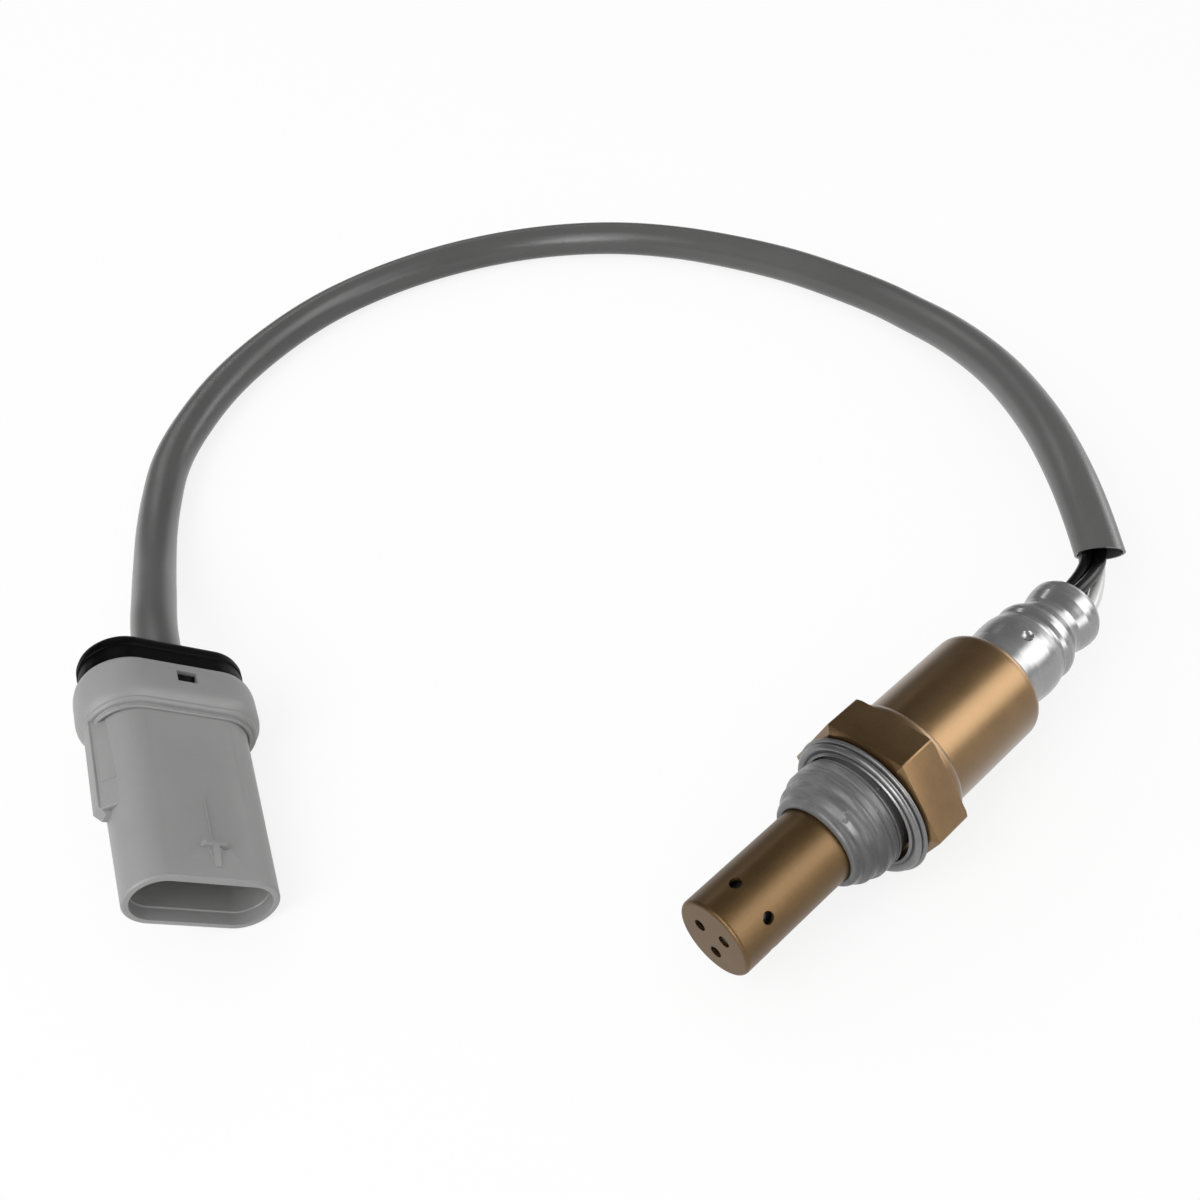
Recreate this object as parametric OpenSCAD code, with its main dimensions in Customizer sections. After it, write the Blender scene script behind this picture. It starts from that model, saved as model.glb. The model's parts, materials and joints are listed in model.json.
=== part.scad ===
// Oxygen sensor: perforated probe, hex body, crimped tail, sleeved wires and a flat plug.
// Millimetres, +Z up. The metal body lies along X with its tip at -X and its underside at Z = 0.

/* [Probe] */
// Outside diameter of the protection tube
probe_d = 12.1; // [11.6:0.1:12.6]
// Length of tube in front of the threaded nose
probe_length = 20.6; // [16:0.1:26]
// Sheet thickness of the protection tubes
tube_wall = 0.5; // [0.4:0.05:0.7]
// Diameter of the gas holes in the outer tube
gas_hole_d = 1.8; // [1.4:0.1:2.2]
// Number of gas holes round the side
side_holes = 6; // [3:1:8]
// Distance of the side holes from the tip
side_hole_x = 5.5; // [4:0.1:12]
// Number of gas holes in the tip face
face_holes = 3; // [2:1:4]
// Radius of the circle the face holes sit on
face_hole_circle_r = 2.5; // [2.2:0.1:3.2]
// Turn of the hole patterns about the axis, degrees
hole_turn = -6; // [-30:1:30]

/* [Body] */
// Thread diameter over its crests
thread_d = 18; // [17.8:0.05:18.2]
// Length of the nose, from its lip to the gasket
nose_length = 8; // [7:0.1:14]
// Hexagon size across flats
hex_across_flats = 22; // [21.4:0.1:24]
// Height of the hexagon
hex_height = 7.2; // [6.5:0.1:10]
// Length of the flat chamfer at the front of the hexagon
hex_chamfer = 1.35; // [0.6:0.05:1.8]
// Height of the round collar behind the hexagon
boss_height = 1.7; // [1.5:0.1:3]
// Outside diameter of the folded crush gasket
gasket_d = 22.6; // [22.4:0.1:23.2]
// Thickness of the gasket, not yet crushed
gasket_thickness = 2.4; // [2.2:0.1:3.2]
// Sheet thickness of the gasket
gasket_sheet = 0.36; // [0.3:0.02:0.4]

/* [Shell and tail] */
// Outside diameter of the rear shell
shell_d = 18.44; // [17.8:0.02:18.8]
// Length of shell behind the collar
shell_length = 21.9; // [18:0.1:28]
// Radius of the shell's rear shoulder
shoulder_r = 2; // [1.4:0.1:2.6]
// Sheet thickness of the shell
shell_wall = 0.8; // [0.6:0.05:1.2]
// Length of the crimped tail behind the shell
tail_length = 21; // [19:0.1:25]
// Sheet thickness of the tail sleeve
tail_wall = 0.55; // [0.4:0.05:0.7]
// Number of crimp dimples round the tail
dimples = 2; // [2:1:6]

/* [Wires and sleeve] */
// Outside diameter of each wire
wire_d = 2.1; // [1.8:0.1:2.2]
// Distance of the wires from the axis inside the grommet
wire_circle_r = 2.7; // [2.5:0.1:2.9]
// Outside diameter of the sleeve over the wires
sleeve_d = 8; // [7.4:0.1:8.4]
// Inside diameter of the sleeve at its open end
sleeve_bore_d = 6.4; // [6.2:0.1:6.6]
// Depth of the open end before the wires fill it
sleeve_recess = 6; // [4:0.5:8]

/* [Plug] */
// Width of the plug at its mouth
plug_width = 23.2; // [22:0.1:24.5]
// Thickness of the plug at its mouth
plug_thickness = 10.7; // [10:0.1:11.5]
// Growth of the shroud's half thickness from mouth to collar
plug_draft = 0.6; // [0.3:0.05:0.8]
// Distance from the mouth to the collar
shroud_length = 32.9; // [28:0.1:38]
// Length of the collar
collar_length = 9.7; // [8:0.1:12]
// Thickness of the collar
collar_thickness = 16.1; // [15:0.1:17]
// Length of the rear cap that shows
cap_length = 6.7; // [6:0.1:9]
// Depth of the open mouth in front of the terminals' base
mouth_depth = 24; // [20:0.5:26]
// Spacing of the four terminals
terminal_pitch = 4; // [3.6:0.1:4.2]
// Turn of the plug about the upright, degrees
plug_yaw = -23.5; // [-40:0.5:0]
// Roll of the plug about its own axis, held by the stiff sleeve, degrees
plug_roll = -39; // [-45:1:-20]
// Drop of the plug's mouth below its rear, degrees
plug_pitch = 4.75; // [3:0.25:6]

/* [Hidden] */
$fn = 64;
gap = 0.03;

// Stations along the sensor, counted from the tip.
lip_z = probe_length;
gasket_z = lip_z + nose_length;
seat_z = gasket_z + gasket_thickness;
hex_end_z = seat_z + hex_height;
boss_end_z = hex_end_z + boss_height;
shell_end_z = boss_end_z + shell_length;
end_z = shell_end_z + tail_length;
flange_z = lip_z + 0.8;
throat_z = flange_z + 2 * tube_wall;
shell_seat_z = hex_end_z - 1.9;
axis_height = max(gasket_d, hex_across_flats) / 2;

// Radii of the stepped bore in the housing and of what fills it.
flange_r = probe_d / 2 + 0.65;
throat_r = 5;
chamber_r = 6.4;
boss_r = shell_d / 2 + 1.1;
shell_r = shell_d / 2;
neck_r = 6.95;
wire_r = wire_d / 2;

function arc(cx, cy, r, from, to, steps = 6) =
    [for (i = [0:steps]) let (a = from + (to - from) * i / steps) [cx + r * cos(a), cy + r * sin(a)]];
function unit(v) = v / norm(v);
function step_at(path, i) =
    unit(path[min(i + 1, len(path) - 1)] - path[max(i - 1, 0)]);
// One side of a bent sheet that follows a path, at a signed distance from it.
function side_of(path, d) =
    [for (i = [0:len(path) - 1]) let (t = step_at(path, i)) path[i] + d * [-t[1], t[0]]];
function reversed(list) = [for (i = [len(list) - 1:-1:0]) list[i]];
function sheet(path, thickness) =
    concat(side_of(path, thickness / 2), reversed(side_of(path, -thickness / 2)));

// Puts a piece that is drawn along +Z from the tip onto the sensor's axis.
module along_sensor() {
    translate([-end_z / 2, 0, axis_height]) rotate([0, 90, 0]) children();
}

// Puts a piece of the plug, drawn with its mouth at Z = 0 facing +Z, where the plug lies.
plug_mouth = [-84.7, 59.7, 9.3];
function on_plug_axis(back) = plug_mouth + back * [-sin(plug_yaw) * cos(plug_pitch),
    cos(plug_yaw) * cos(plug_pitch), sin(plug_pitch)];
module at_plug() {
    translate(plug_mouth) rotate([0, 0, plug_yaw]) rotate([plug_pitch, 0, 0])
        rotate([90, 0, 0]) rotate([0, 0, plug_roll]) children();
}

module turned(outline) { rotate_extrude() polygon(outline); }

// A cylinder with its edges broken at both ends.
module rod(r, from, to, edge = 0.2) {
    turned([[0, from], [r - edge, from], [r, from + edge], [r, to - edge], [r - edge, to], [0, to]]);
}

// A ring between two radii.
module ring(inner, outer, from, to) {
    turned([[inner, from], [outer, from], [outer, to], [inner, to]]);
}

module gas_holes(count, radius, z, reach, turn) {
    for (i = [0:count - 1]) rotate([0, 0, turn + i * 360 / count]) translate([0, 0, z])
        rotate([0, 90, 0]) cylinder(r = radius, h = reach);
}

module outer_tube() {
    r = probe_d / 2;
    inner = r - tube_wall;
    round_r = 0.55;
    color([0.47, 0.37, 0.27]) along_sensor() difference() {
        turned(concat(
            [[0, 0]], arc(r - round_r, round_r, round_r, -90, 0),
            [[r, flange_z], [flange_r, flange_z], [flange_r, flange_z + tube_wall],
             [inner, flange_z + tube_wall]],
            arc(inner - 0.3, tube_wall + 0.3, 0.3, 0, -90, 3), [[0, tube_wall]]));
        for (i = [0:face_holes - 1]) rotate([0, 0, hole_turn + i * 360 / face_holes])
            translate([face_hole_circle_r, 0, -1]) cylinder(d = gas_hole_d, h = 3);
        gas_holes(side_holes, gas_hole_d / 2, side_hole_x, r + 2, hole_turn);
    }
}

module inner_tube() {
    r = probe_d / 2 - tube_wall - 0.95;
    front = tube_wall + 1.2;
    base = flange_z + tube_wall;
    color([0.62, 0.60, 0.57]) along_sensor() difference() {
        turned(concat(
            [[0, front]], arc(r - 0.6, front + 0.6, 0.6, -90, 0),
            [[r, base], [flange_r, base], [flange_r, base + tube_wall], [r - tube_wall, base + tube_wall]],
            arc(r - tube_wall - 0.3, front + tube_wall + 0.3, 0.3, 0, -90, 3), [[0, front + tube_wall]]));
        translate([0, 0, front - 1]) cylinder(d = 1.6, h = 3);
        gas_holes(6, 0.75, lip_z - 4.5, r + 1, 24);
    }
}

// Hexagon with a flat chamfer along the front of each side and turned corners at the back.
module hexagon() {
    flat_r = hex_across_flats / 2;
    difference() {
        intersection() {
            rotate([0, 0, 30]) translate([0, 0, seat_z])
                cylinder(r = hex_across_flats / sqrt(3), h = hex_height, $fn = 6);
            turned([[0, seat_z], [flat_r + 2, seat_z], [flat_r + 2, hex_end_z - 0.5],
                [flat_r + 0.5, hex_end_z], [0, hex_end_z]]);
        }
        // Every other chamfer is a hair longer, so that no four planes meet in one point.
        for (i = [0:5]) rotate([0, 0, 60 * i]) translate([flat_r, 0, seat_z + hex_chamfer + 0.06 * (i % 2)])
            rotate([0, 33, 0]) translate([0, -flat_r, -4]) cube([4, 2 * flat_r, 4]);
    }
}

module housing() {
    r = thread_d / 2;
    groove_r = r - 0.65;
    color([0.45, 0.35, 0.25]) along_sensor() difference() {
        union() {
            turned(concat(
                [[0, lip_z], [probe_d / 2 + 0.55, lip_z]],
                arc(probe_d / 2 + 0.55, lip_z + 0.6, 0.6, -90, 0, 4),
                [[r - 0.8, lip_z + 2.6], [r, lip_z + 3.4], [r, gasket_z - 0.3],
                 [groove_r, gasket_z + 0.35], [groove_r, seat_z + 1], [0, seat_z + 1]]));
            hexagon();
            turned(concat([[0, hex_end_z - 1], [boss_r, hex_end_z - 1]],
                arc(boss_r - 0.75, boss_end_z - 0.75, 0.75, 0, 90, 4), [[0, boss_end_z]]));
        }
        // Lip bore, flange pocket, throat, conical seat, chamber and the crimped inner lip.
        turned([[0, lip_z - 1], [probe_d / 2 + gap, lip_z - 1], [probe_d / 2 + gap, flange_z],
            [flange_r + gap, flange_z], [flange_r + gap, throat_z], [throat_r, throat_z],
            [throat_r, throat_z + 4.4], [chamber_r, throat_z + 5.8], [chamber_r, boss_end_z - 1.1],
            [5.6, boss_end_z - 1.1], [5.6, boss_end_z + 1], [0, boss_end_z + 1]]);
        ring(shell_r - shell_wall - 0.6, shell_r + gap, shell_seat_z, boss_end_z + 1);
    }
}

// Sheet folded into an S, so that it crushes as the sensor is tightened.
module gasket() {
    t = gasket_sheet;
    roll = (gasket_thickness - t) * 0.32;
    fold = (gasket_thickness - t) / 2 - roll;
    front = gasket_z + t / 2;
    back = seat_z - t / 2;
    roll_r = gasket_d / 2 - 0.12 - t / 2 - roll;
    inner_r = thread_d / 2;
    path = concat(
        [[inner_r + 0.5, front + 0.72], [inner_r + 0.58, front + 0.46], [inner_r + 0.78, front + 0.27]],
        arc(roll_r, front + roll, roll, -115, 90, 9),
        arc(inner_r + 0.7, back - fold, fold, 270, 90, 7),
        arc(gasket_d / 2 - t / 2 - 0.5, back - 0.5, 0.5, 90, -5, 6));
    color([0.72, 0.72, 0.74]) along_sensor() turned(sheet(path, t));
}

module sensing_cup() {
    front = 4.6;
    nose = 2.9;
    shoulder = throat_z + 4.42;
    rear = boss_end_z + 6.5;
    color([0.93, 0.92, 0.88]) along_sensor() turned(concat(
        arc(0, front + nose, nose, -90, 0, 8),
        [[nose + 0.3, lip_z + 1], [throat_r - 0.25, throat_z + 3], [throat_r - gap, shoulder],
         [chamber_r - gap, shoulder + 1.4], [chamber_r - gap, shoulder + 3.9], [4.3, shoulder + 4.2],
         [4.3, rear], [1.8, rear], [1.8, front + 2.6]],
        arc(0, front + 2.6, 1.8, 0, -90, 6)));
}

module heater_rod() {
    color([0.86, 0.85, 0.82]) along_sensor() rod(1.5, 7.5, shell_end_z - 4.9, 0.3);
}

// The three rings that seal the cup in the housing, from front to back.
seal_z = throat_z + 8.62;
lock_z = boss_end_z - 1.1;
module powder_ring() {
    color([0.80, 0.79, 0.74]) along_sensor() ring(4.3 + gap, chamber_r - gap, seal_z, seal_z + 3.6);
}

module ceramic_bush() {
    color([0.94, 0.93, 0.90]) along_sensor() ring(4.3 + gap, chamber_r - gap, seal_z + 3.6, lock_z - 0.8);
}

module lock_ring() {
    color([0.66, 0.66, 0.66]) along_sensor() ring(4.5, chamber_r - gap, lock_z - 0.8, lock_z);
}

module rear_shell() {
    centre_r = shell_r - shoulder_r;
    color([0.50, 0.39, 0.28]) along_sensor() turned(concat(
        [[shell_r - shell_wall, shell_seat_z], [shell_r, shell_seat_z]],
        arc(centre_r, shell_end_z - shoulder_r, shoulder_r, 0, 90, 7),
        arc(centre_r, shell_end_z - shoulder_r, shoulder_r - shell_wall, 90, 0, 5)));
}

// Middle of the tail's sheet as [radius, distance behind the shell's end].
function tail_path() = let (inside_r = shell_r - shell_wall - tail_wall / 2 - 0.05)
    [for (p = concat(
        [[inside_r, -10.5], [inside_r, -2.4]],
        arc(inside_r - 1.2, -2.4, 1.2, 25, 90, 4),
        [[neck_r - tail_wall / 2 - 0.02, -0.6], [6.75, 0.9], [6.66, 2.2], [6.64, 3.3], [6.74, 4.4],
         [6.84, 5.6], [6.86, 6.6], [6.8, 7.6], [6.6, 8.7], [6.24, 9.6], [6.22, 10.1], [6.44, 10.8],
         [6.5, 11.4], [6.3, 12.2], [5.75, 13.1], [5.2, 14.1], [4.98, 15.1], [5.06, 16], [5.34, 16.9],
         [5.62, 17.9], [5.76, 19], [5.74, 19.9], [5.45, 20.55], [5, 20.7]]))
        [p[0], shell_end_z + p[1] * (p[1] > 0 ? (tail_length - tail_wall / 2) / 20.7 : 1)]];

module tail_sleeve() {
    color([0.80, 0.80, 0.81]) along_sensor() difference() {
        turned(sheet(tail_path(), tail_wall));
        for (i = [0:dimples - 1]) rotate([0, 0, 17 + i * 360 / dimples])
            translate([-7.95, 0, shell_end_z + 5.6]) sphere(r = 1.3);
    }
}

module contact_holder() {
    from = shell_end_z - 9.4;
    color([0.92, 0.91, 0.87]) along_sensor() difference() {
        rod(5.9, from, from + 18.5, 0.4);
        translate([0, 0, from - 1]) cylinder(r = 1.65, h = 7);
        for (i = [0:3]) rotate([0, 0, 90 * i]) translate([1.9, -1.1, from - 1]) cube([2.4, 2.2, 21]);
    }
}

module contact(i) {
    from = shell_end_z - 11.9;
    color([0.78, 0.72, 0.55]) along_sensor() rotate([0, 0, 90 * i]) {
        translate([2.75, -0.8, from]) cube([0.5, 1.6, 21.5]);
        translate([wire_circle_r, 0, from + 21.2]) cylinder(r = 0.95, h = 2.6);
    }
}

module contact_1() { contact(0); }
module contact_2() { contact(1); }
module contact_3() { contact(2); }
module contact_4() { contact(3); }

// Rubber plug that fills the crimped tail, with a hole for each wire.
grommet_z = shell_end_z + 12.6;
module grommet() {
    inside = [for (p = side_of(tail_path(), tail_wall / 2 + 0.04))
        if (p[1] > grommet_z && p[1] < end_z - 0.6) p];
    color([0.10, 0.10, 0.10]) along_sensor() difference() {
        turned(concat([[0, grommet_z], [inside[0][0] - 0.3, grommet_z]], inside,
            [[4.6, end_z - 0.45], [4.4, end_z - 0.1], [0, end_z - 0.1]]));
        for (i = [0:3]) rotate([0, 0, 90 * i]) translate([wire_circle_r, 0, grommet_z - 1])
            cylinder(r = wire_r + 0.02, h = 14);
    }
}

// A round body swept along a route. rings is a list of [centre, direction, radius].
function ring_points(centre, direction, r, sides) =
    let (w = unit(direction), u = unit(cross(abs(w[2]) > 0.9 ? [0, 1, 0] : [0, 0, 1], w)), v = cross(w, u))
    [for (i = [0:sides - 1]) let (a = 360 * (i + 0.5) / sides) centre + r * (cos(a) * u + sin(a) * v)];
module swept(rings, sides) {
    last = (len(rings) - 1) * sides;
    polyhedron(
        points = [for (q = rings) each ring_points(q[0], q[1], q[2], sides)],
        faces = concat(
            [[for (i = [0:sides - 1]) i]],
            [for (j = [0:len(rings) - 2]) for (i = [0:sides - 1]) let (a = j * sides + i,
                b = j * sides + (i + 1) % sides) each [[a, a + sides, b], [b, a + sides, b + sides]]],
            [[for (i = [sides - 1:-1:0]) last + i]]));
}

// Hand-chosen route of the sleeve from its open end, brought onto the plug's axis inside the cap.
sleeve_seat = shroud_length + collar_length + 1.7;
sleeve_route = concat([
    [58.4, 4.5, 9.6], [63.6, 10, 11], [69.2, 16.1, 12], [75.8, 23.3, 12], [83.2, 31.6, 11.2],
    [90.9, 41.1, 9.8], [98.2, 51.3, 8.2], [104.1, 61.8, 6.8], [108.6, 72, 5.6], [111.6, 82.5, 4.8],
    [113.8, 92, 4.3], [114.8, 102, 4.1], [114.8, 120, 4.1], [112.4, 137, 4.1], [108, 153.5, 4.1],
    [101.2, 168, 4.1], [91.6, 180.4, 4.1], [79.8, 190.3, 4.1], [66.1, 197.6, 4.1], [50.6, 202.1, 4.1],
    [33.7, 203.2, 4.1], [15.5, 199.8, 4.1], [-2.8, 192.4, 4.1], [-19.6, 181, 4.1], [-28.2, 172.8, 4.15],
    [-35.6, 163.1, 4.3], [-42.4, 152.5, 5], [-48.6, 141, 6.6], [-54.5, 128.7, 9.4], [-60, 116.9, 12]],
    [on_plug_axis(shroud_length + collar_length + cap_length), on_plug_axis(sleeve_seat + 0.02)]);
mouth_dir = unit([-0.72, -0.62, -0.30]);
mouth_cut = unit([-0.62, -0.52, -0.58]);
module sleeve() {
    start = sleeve_route[0];
    inner_r = sleeve_bore_d / 2;
    color([0.42, 0.42, 0.43]) swept(concat(
        [[start - sleeve_recess * mouth_dir, -mouth_dir, inner_r],
         [start - 0.2 * mouth_dir, -mouth_cut, inner_r],
         [start, -mouth_cut, sleeve_d / 2]],
        [for (i = [1:len(sleeve_route) - 1])
            [sleeve_route[i], step_at(sleeve_route, i), sleeve_d / 2]]), 12);
}

// A wire from its contact, straight through the grommet and over to its place in the sleeve's mouth.
mouth_side = unit(cross([0, 0, 1], mouth_dir));
mouth_up = cross(mouth_dir, mouth_side);
bundle_r = wire_r * sqrt(2) + 0.02;
function bezier(a, b, c, d, t) =
    pow(1 - t, 3) * a + 3 * pow(1 - t, 2) * t * b + 3 * (1 - t) * t * t * c + t * t * t * d;
module wire(y, z) {
    start = [boss_end_z + 33.8 - end_z / 2, wire_circle_r * y, axis_height + wire_circle_r * z];
    leave = [end_z / 2 + 0.2, start[1], start[2]];
    enter = sleeve_route[0] - (bundle_r * y + 0.5) * mouth_side + bundle_r * z * mouth_up;
    inside = enter - (sleeve_recess - 0.15) * mouth_dir;
    route = concat([start],
        [for (t = [0:0.2:1]) bezier(leave, leave + [3.5, 0, 0], enter + 4 * mouth_dir, enter, t)], [inside]);
    swept([for (i = [0:len(route) - 1])
        [route[i], i < 2 ? [1, 0, 0] : i == len(route) - 1 ? -mouth_dir : step_at(route, i), wire_r]], 8);
}

module wire_black_upper() { color([0.03, 0.03, 0.03]) wire(0, 1); }
module wire_black_lower() { color([0.03, 0.03, 0.03]) wire(1, 0); }
module wire_grey() { color([0.35, 0.35, 0.36]) wire(0, -1); }
module wire_white() { color([0.92, 0.92, 0.90]) wire(-1, 0); }

// A solid with a straight-sided, round-ended section. outline is [half thickness, z] from the axis out.
module flat_round(outline, half_span) {
    for (side = [0, 180]) rotate([0, 0, side]) translate([half_span, 0, 0])
        rotate([0, 0, -90]) rotate_extrude(angle = 180) polygon(outline);
    translate([-half_span, 0, 0]) rotate([90, 0, 90]) linear_extrude(2 * half_span)
        polygon(concat(outline, reversed([for (p = outline) if (p[0] > 0) [-p[0], p[1]]])));
}

mouth_r = plug_thickness / 2;
base_r = mouth_r + plug_draft;
collar_r = collar_thickness / 2;
shroud_span = plug_width / 2 - mouth_r;
collar_span = shroud_span + 0.45;
collar_z = -shroud_length;
join_z = collar_z - collar_length;
bulge_z = collar_z - 3.1;
shoulder_z = collar_z - 1.8;
window = [3.4, 2.4];
window_x = 0.2;
window_back = 3.4;

module plug_housing() {
    wall = 1.05;
    cavity_r = mouth_r - wall;
    floor_z = -mouth_depth;
    rear_z = floor_z - 6.5;
    color([0.62, 0.62, 0.62]) at_plug() difference() {
        union() {
            flat_round([[0, collar_z - 3], [base_r + 0.05, collar_z - 3], [base_r, collar_z], [mouth_r, -0.3],
                [mouth_r - 0.3, 0], [0, 0]], shroud_span);
            flat_round([[0, join_z], [collar_r - 0.6, join_z], [collar_r - 0.3, join_z + 0.6],
                [collar_r - 0.08, join_z + 1.6], [collar_r, join_z + 2.6], [collar_r, bulge_z],
                [collar_r - 0.15, bulge_z + 0.9], [collar_r - 0.5, bulge_z + 1.6],
                [collar_r - 1, bulge_z + 2.2], [collar_r - 1.5, bulge_z + 2.65], [base_r + 0.25, collar_z],
                [0, collar_z]], collar_span);
            side_rail();
            lock_ramp();
            // Fine witness rib behind the ramp.
            translate([0.1, base_r - 0.95, -15.2]) rotate([1.05, 0, 0]) cube([0.25, 0.8, 8.9]);
        }
        flat_round([[0, floor_z], [cavity_r - 0.15, floor_z], [cavity_r - 0.15, -2.4], [cavity_r, -2.2],
            [cavity_r, 1], [0, 1]], shroud_span);
        for (i = [0:3]) translate([(i - 1.5) * terminal_pitch, 0, floor_z - 3.25])
            cube([1.66, 0.86, 6.6], center = true);
        flat_round([[0, shoulder_z - 1], [4.8, shoulder_z - 1], [4.8, rear_z], [0, rear_z]], shroud_span);
        flat_round([[0, join_z - 1], [collar_r - 1.5, join_z - 1], [collar_r - 1.5, shoulder_z - 0.2],
            [0, shoulder_z - 0.2]], collar_span);
        for (side = [0, 180]) rotate([0, 0, side]) {
            translate([window_x, collar_r, join_z + window_back])
                cube([window[0], 6, window[1]], center = true);
            translate([window_x + 0.3, collar_r + 0.12, join_z + 0.6]) rotate([-14, 0, 0])
                cube([window[0] + 1, 0.8, 2.2], center = true);
        }
    }
}

// Guide rail on one narrow side, with a shallow line along its face.
module side_rail() {
    outer = plug_width / 2 + 2.15;
    difference() {
        hull() {
            translate([-outer, -1.3, collar_z - 0.8]) cube([3.4, 2.1, 17.8]);
            translate([-outer + 1.1, -1.1, collar_z + 17]) cube([2.2, 1.7, 1.2]);
        }
        translate([-outer + 0.35, 0.7, -24]) cube([0.35, 1, 6.5]);
        translate([-outer + 0.35, 0.7, -24]) rotate([0, -25, 0]) translate([0, 0, -5]) cube([0.35, 1, 5.3]);
    }
}
module lock_ramp() {
    top = mouth_r + 0.85;
    rib = 0.9;
    translate([0.5, 0, 0.5]) {
        hull() {
            translate([-2.1, mouth_r - 0.5, -7.1]) cube([4.2, 0.9, 0.9]);
            translate([-1.5, mouth_r - 0.5, -7.1]) cube([3, top - mouth_r + 0.5, 0.7]);
        }
        translate([-rib / 2, 0, 0]) rotate([90, 0, 90]) linear_extrude(rib)
            polygon([[mouth_r - 0.5, -7], [top, -7], [top, -6.2], [mouth_r + 0.2, -2.8],
                [mouth_r - 0.5, -2.7]]);
        translate([0, mouth_r - 0.5, 0]) rotate([-90, 0, 0]) linear_extrude(0.8)
            polygon([[-1.3, 6.8], [1.3, 6.8], [0.4, 3.6], [-0.4, 3.6]]);
    }
}

// Snap-in rear cap: a flange behind the collar, a skirt inside it and two barbs in the windows.
module plug_cap() {
    rear_r = collar_r - 1.05;
    rear_z = join_z - cap_length;
    skirt_r = collar_r - 1.5 - 0.04;
    color([0.02, 0.02, 0.02]) at_plug() difference() {
        union() {
            flat_round([[0, rear_z], [rear_r - 1.5, rear_z], [rear_r - 0.75, rear_z + 0.35],
                [rear_r - 0.25, rear_z + 0.95], [rear_r, rear_z + 1.7], [rear_r, rear_z + 2.9],
                [rear_r - 0.2, rear_z + 3], [rear_r - 0.2, rear_z + 3.3], [rear_r + 0.35, join_z],
                [0, join_z]], collar_span);
            flat_round([[0, join_z], [skirt_r, join_z], [skirt_r, join_z + 5], [0, join_z + 5]], collar_span);
            for (side = [0, 180]) rotate([0, 0, side]) translate([window_x - window[0] / 2 + 0.15, 0, 0])
                rotate([90, 0, 90]) linear_extrude(window[0] - 0.3)
                    polygon([for (p = [[-1, -1.05], [0.9, -1.05], [0, 1], [-1, 1]])
                        [skirt_r + p[0], join_z + window_back + p[1]]]);
        }
        // Entry for the sleeve, then the chamber its wires fan out in.
        translate([0, 0, rear_z - 1]) cylinder(d = sleeve_d + 0.1, h = -sleeve_seat - rear_z + 1);
        translate([0, 0, rear_z]) cylinder(d = sleeve_d - 1.2, h = cap_length);
        flat_round([[0, join_z - 1.2], [skirt_r - 1.6, join_z - 1.2], [skirt_r - 1.6, join_z + 6],
            [0, join_z + 6]], collar_span);
    }
}

// Ribbed rubber block round the four wires.
module plug_seal() {
    from = join_z + 5.05;
    to = shoulder_z - 0.25;
    r = collar_r - 1.5 - 0.05;
    color([0.16, 0.16, 0.17]) at_plug() difference() {
        flat_round([[0, from], [r - 0.4, from], [r, from + 0.4], [r - 0.5, from + 0.8], [r, (from + to) / 2],
            [r - 0.5, to - 0.8], [r, to - 0.4], [r - 0.4, to], [0, to]], collar_span);
        for (i = [0:3]) translate([(i - 1.5) * terminal_pitch, 0, from - 1]) cylinder(r = 1.3, h = 8);
    }
}

// Male terminal: blade in the mouth, body in the base, crimp barrel behind.
module terminal(i) {
    base = -mouth_depth;
    color([0.80, 0.78, 0.72]) at_plug() translate([(i - 1.5) * terminal_pitch, 0, 0]) {
        difference() {
            translate([-0.75, -0.35, base - 0.5]) cube([1.5, 0.7, 14.5]);
            for (s = [-1, 1]) translate([s * 1.15, 0, base + 13.4]) rotate([0, s * 28, 0])
                cube([1, 2, 2.4], center = true);
        }
        translate([-0.8, -0.4, base - 6.8]) cube([1.6, 0.8, 6.7]);
        translate([0, 0, base - 13]) cylinder(r = 1.15, h = 6.4);
    }
}

module terminal_1() { terminal(0); }
module terminal_2() { terminal(1); }
module terminal_3() { terminal(2); }
module terminal_4() { terminal(3); }

// The four wires inside the cap, fanned out from the sleeve's end to the terminals.
module plug_wires() {
    r = 0.85;
    color([0.20, 0.20, 0.20]) at_plug() for (i = [-1.5:1:1.5])
        swept([[[i * 1.6, 0, join_z - 1.1], [0, 0, 1], r], [[i * 1.9, 0, join_z - 0.4], [0, 0, 1], r],
            [[i * terminal_pitch, 0, join_z + 3.6], [0, 0, 1], r],
            [[i * terminal_pitch, 0, -mouth_depth - 13.05], [0, 0, 1], r]], 8);
}

outer_tube();
inner_tube();
housing();
gasket();
sensing_cup();
heater_rod();
powder_ring();
ceramic_bush();
lock_ring();
rear_shell();
tail_sleeve();
contact_holder();
contact_1();
contact_2();
contact_3();
contact_4();
grommet();
wire_black_upper();
wire_black_lower();
wire_grey();
wire_white();
sleeve();
plug_housing();
plug_cap();
plug_seal();
terminal_1();
terminal_2();
terminal_3();
terminal_4();
plug_wires();
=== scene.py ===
import bpy
import bmesh
import json
from math import sin, cos, pi, radians, sqrt
from mathutils import Matrix, Vector, noise


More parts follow.
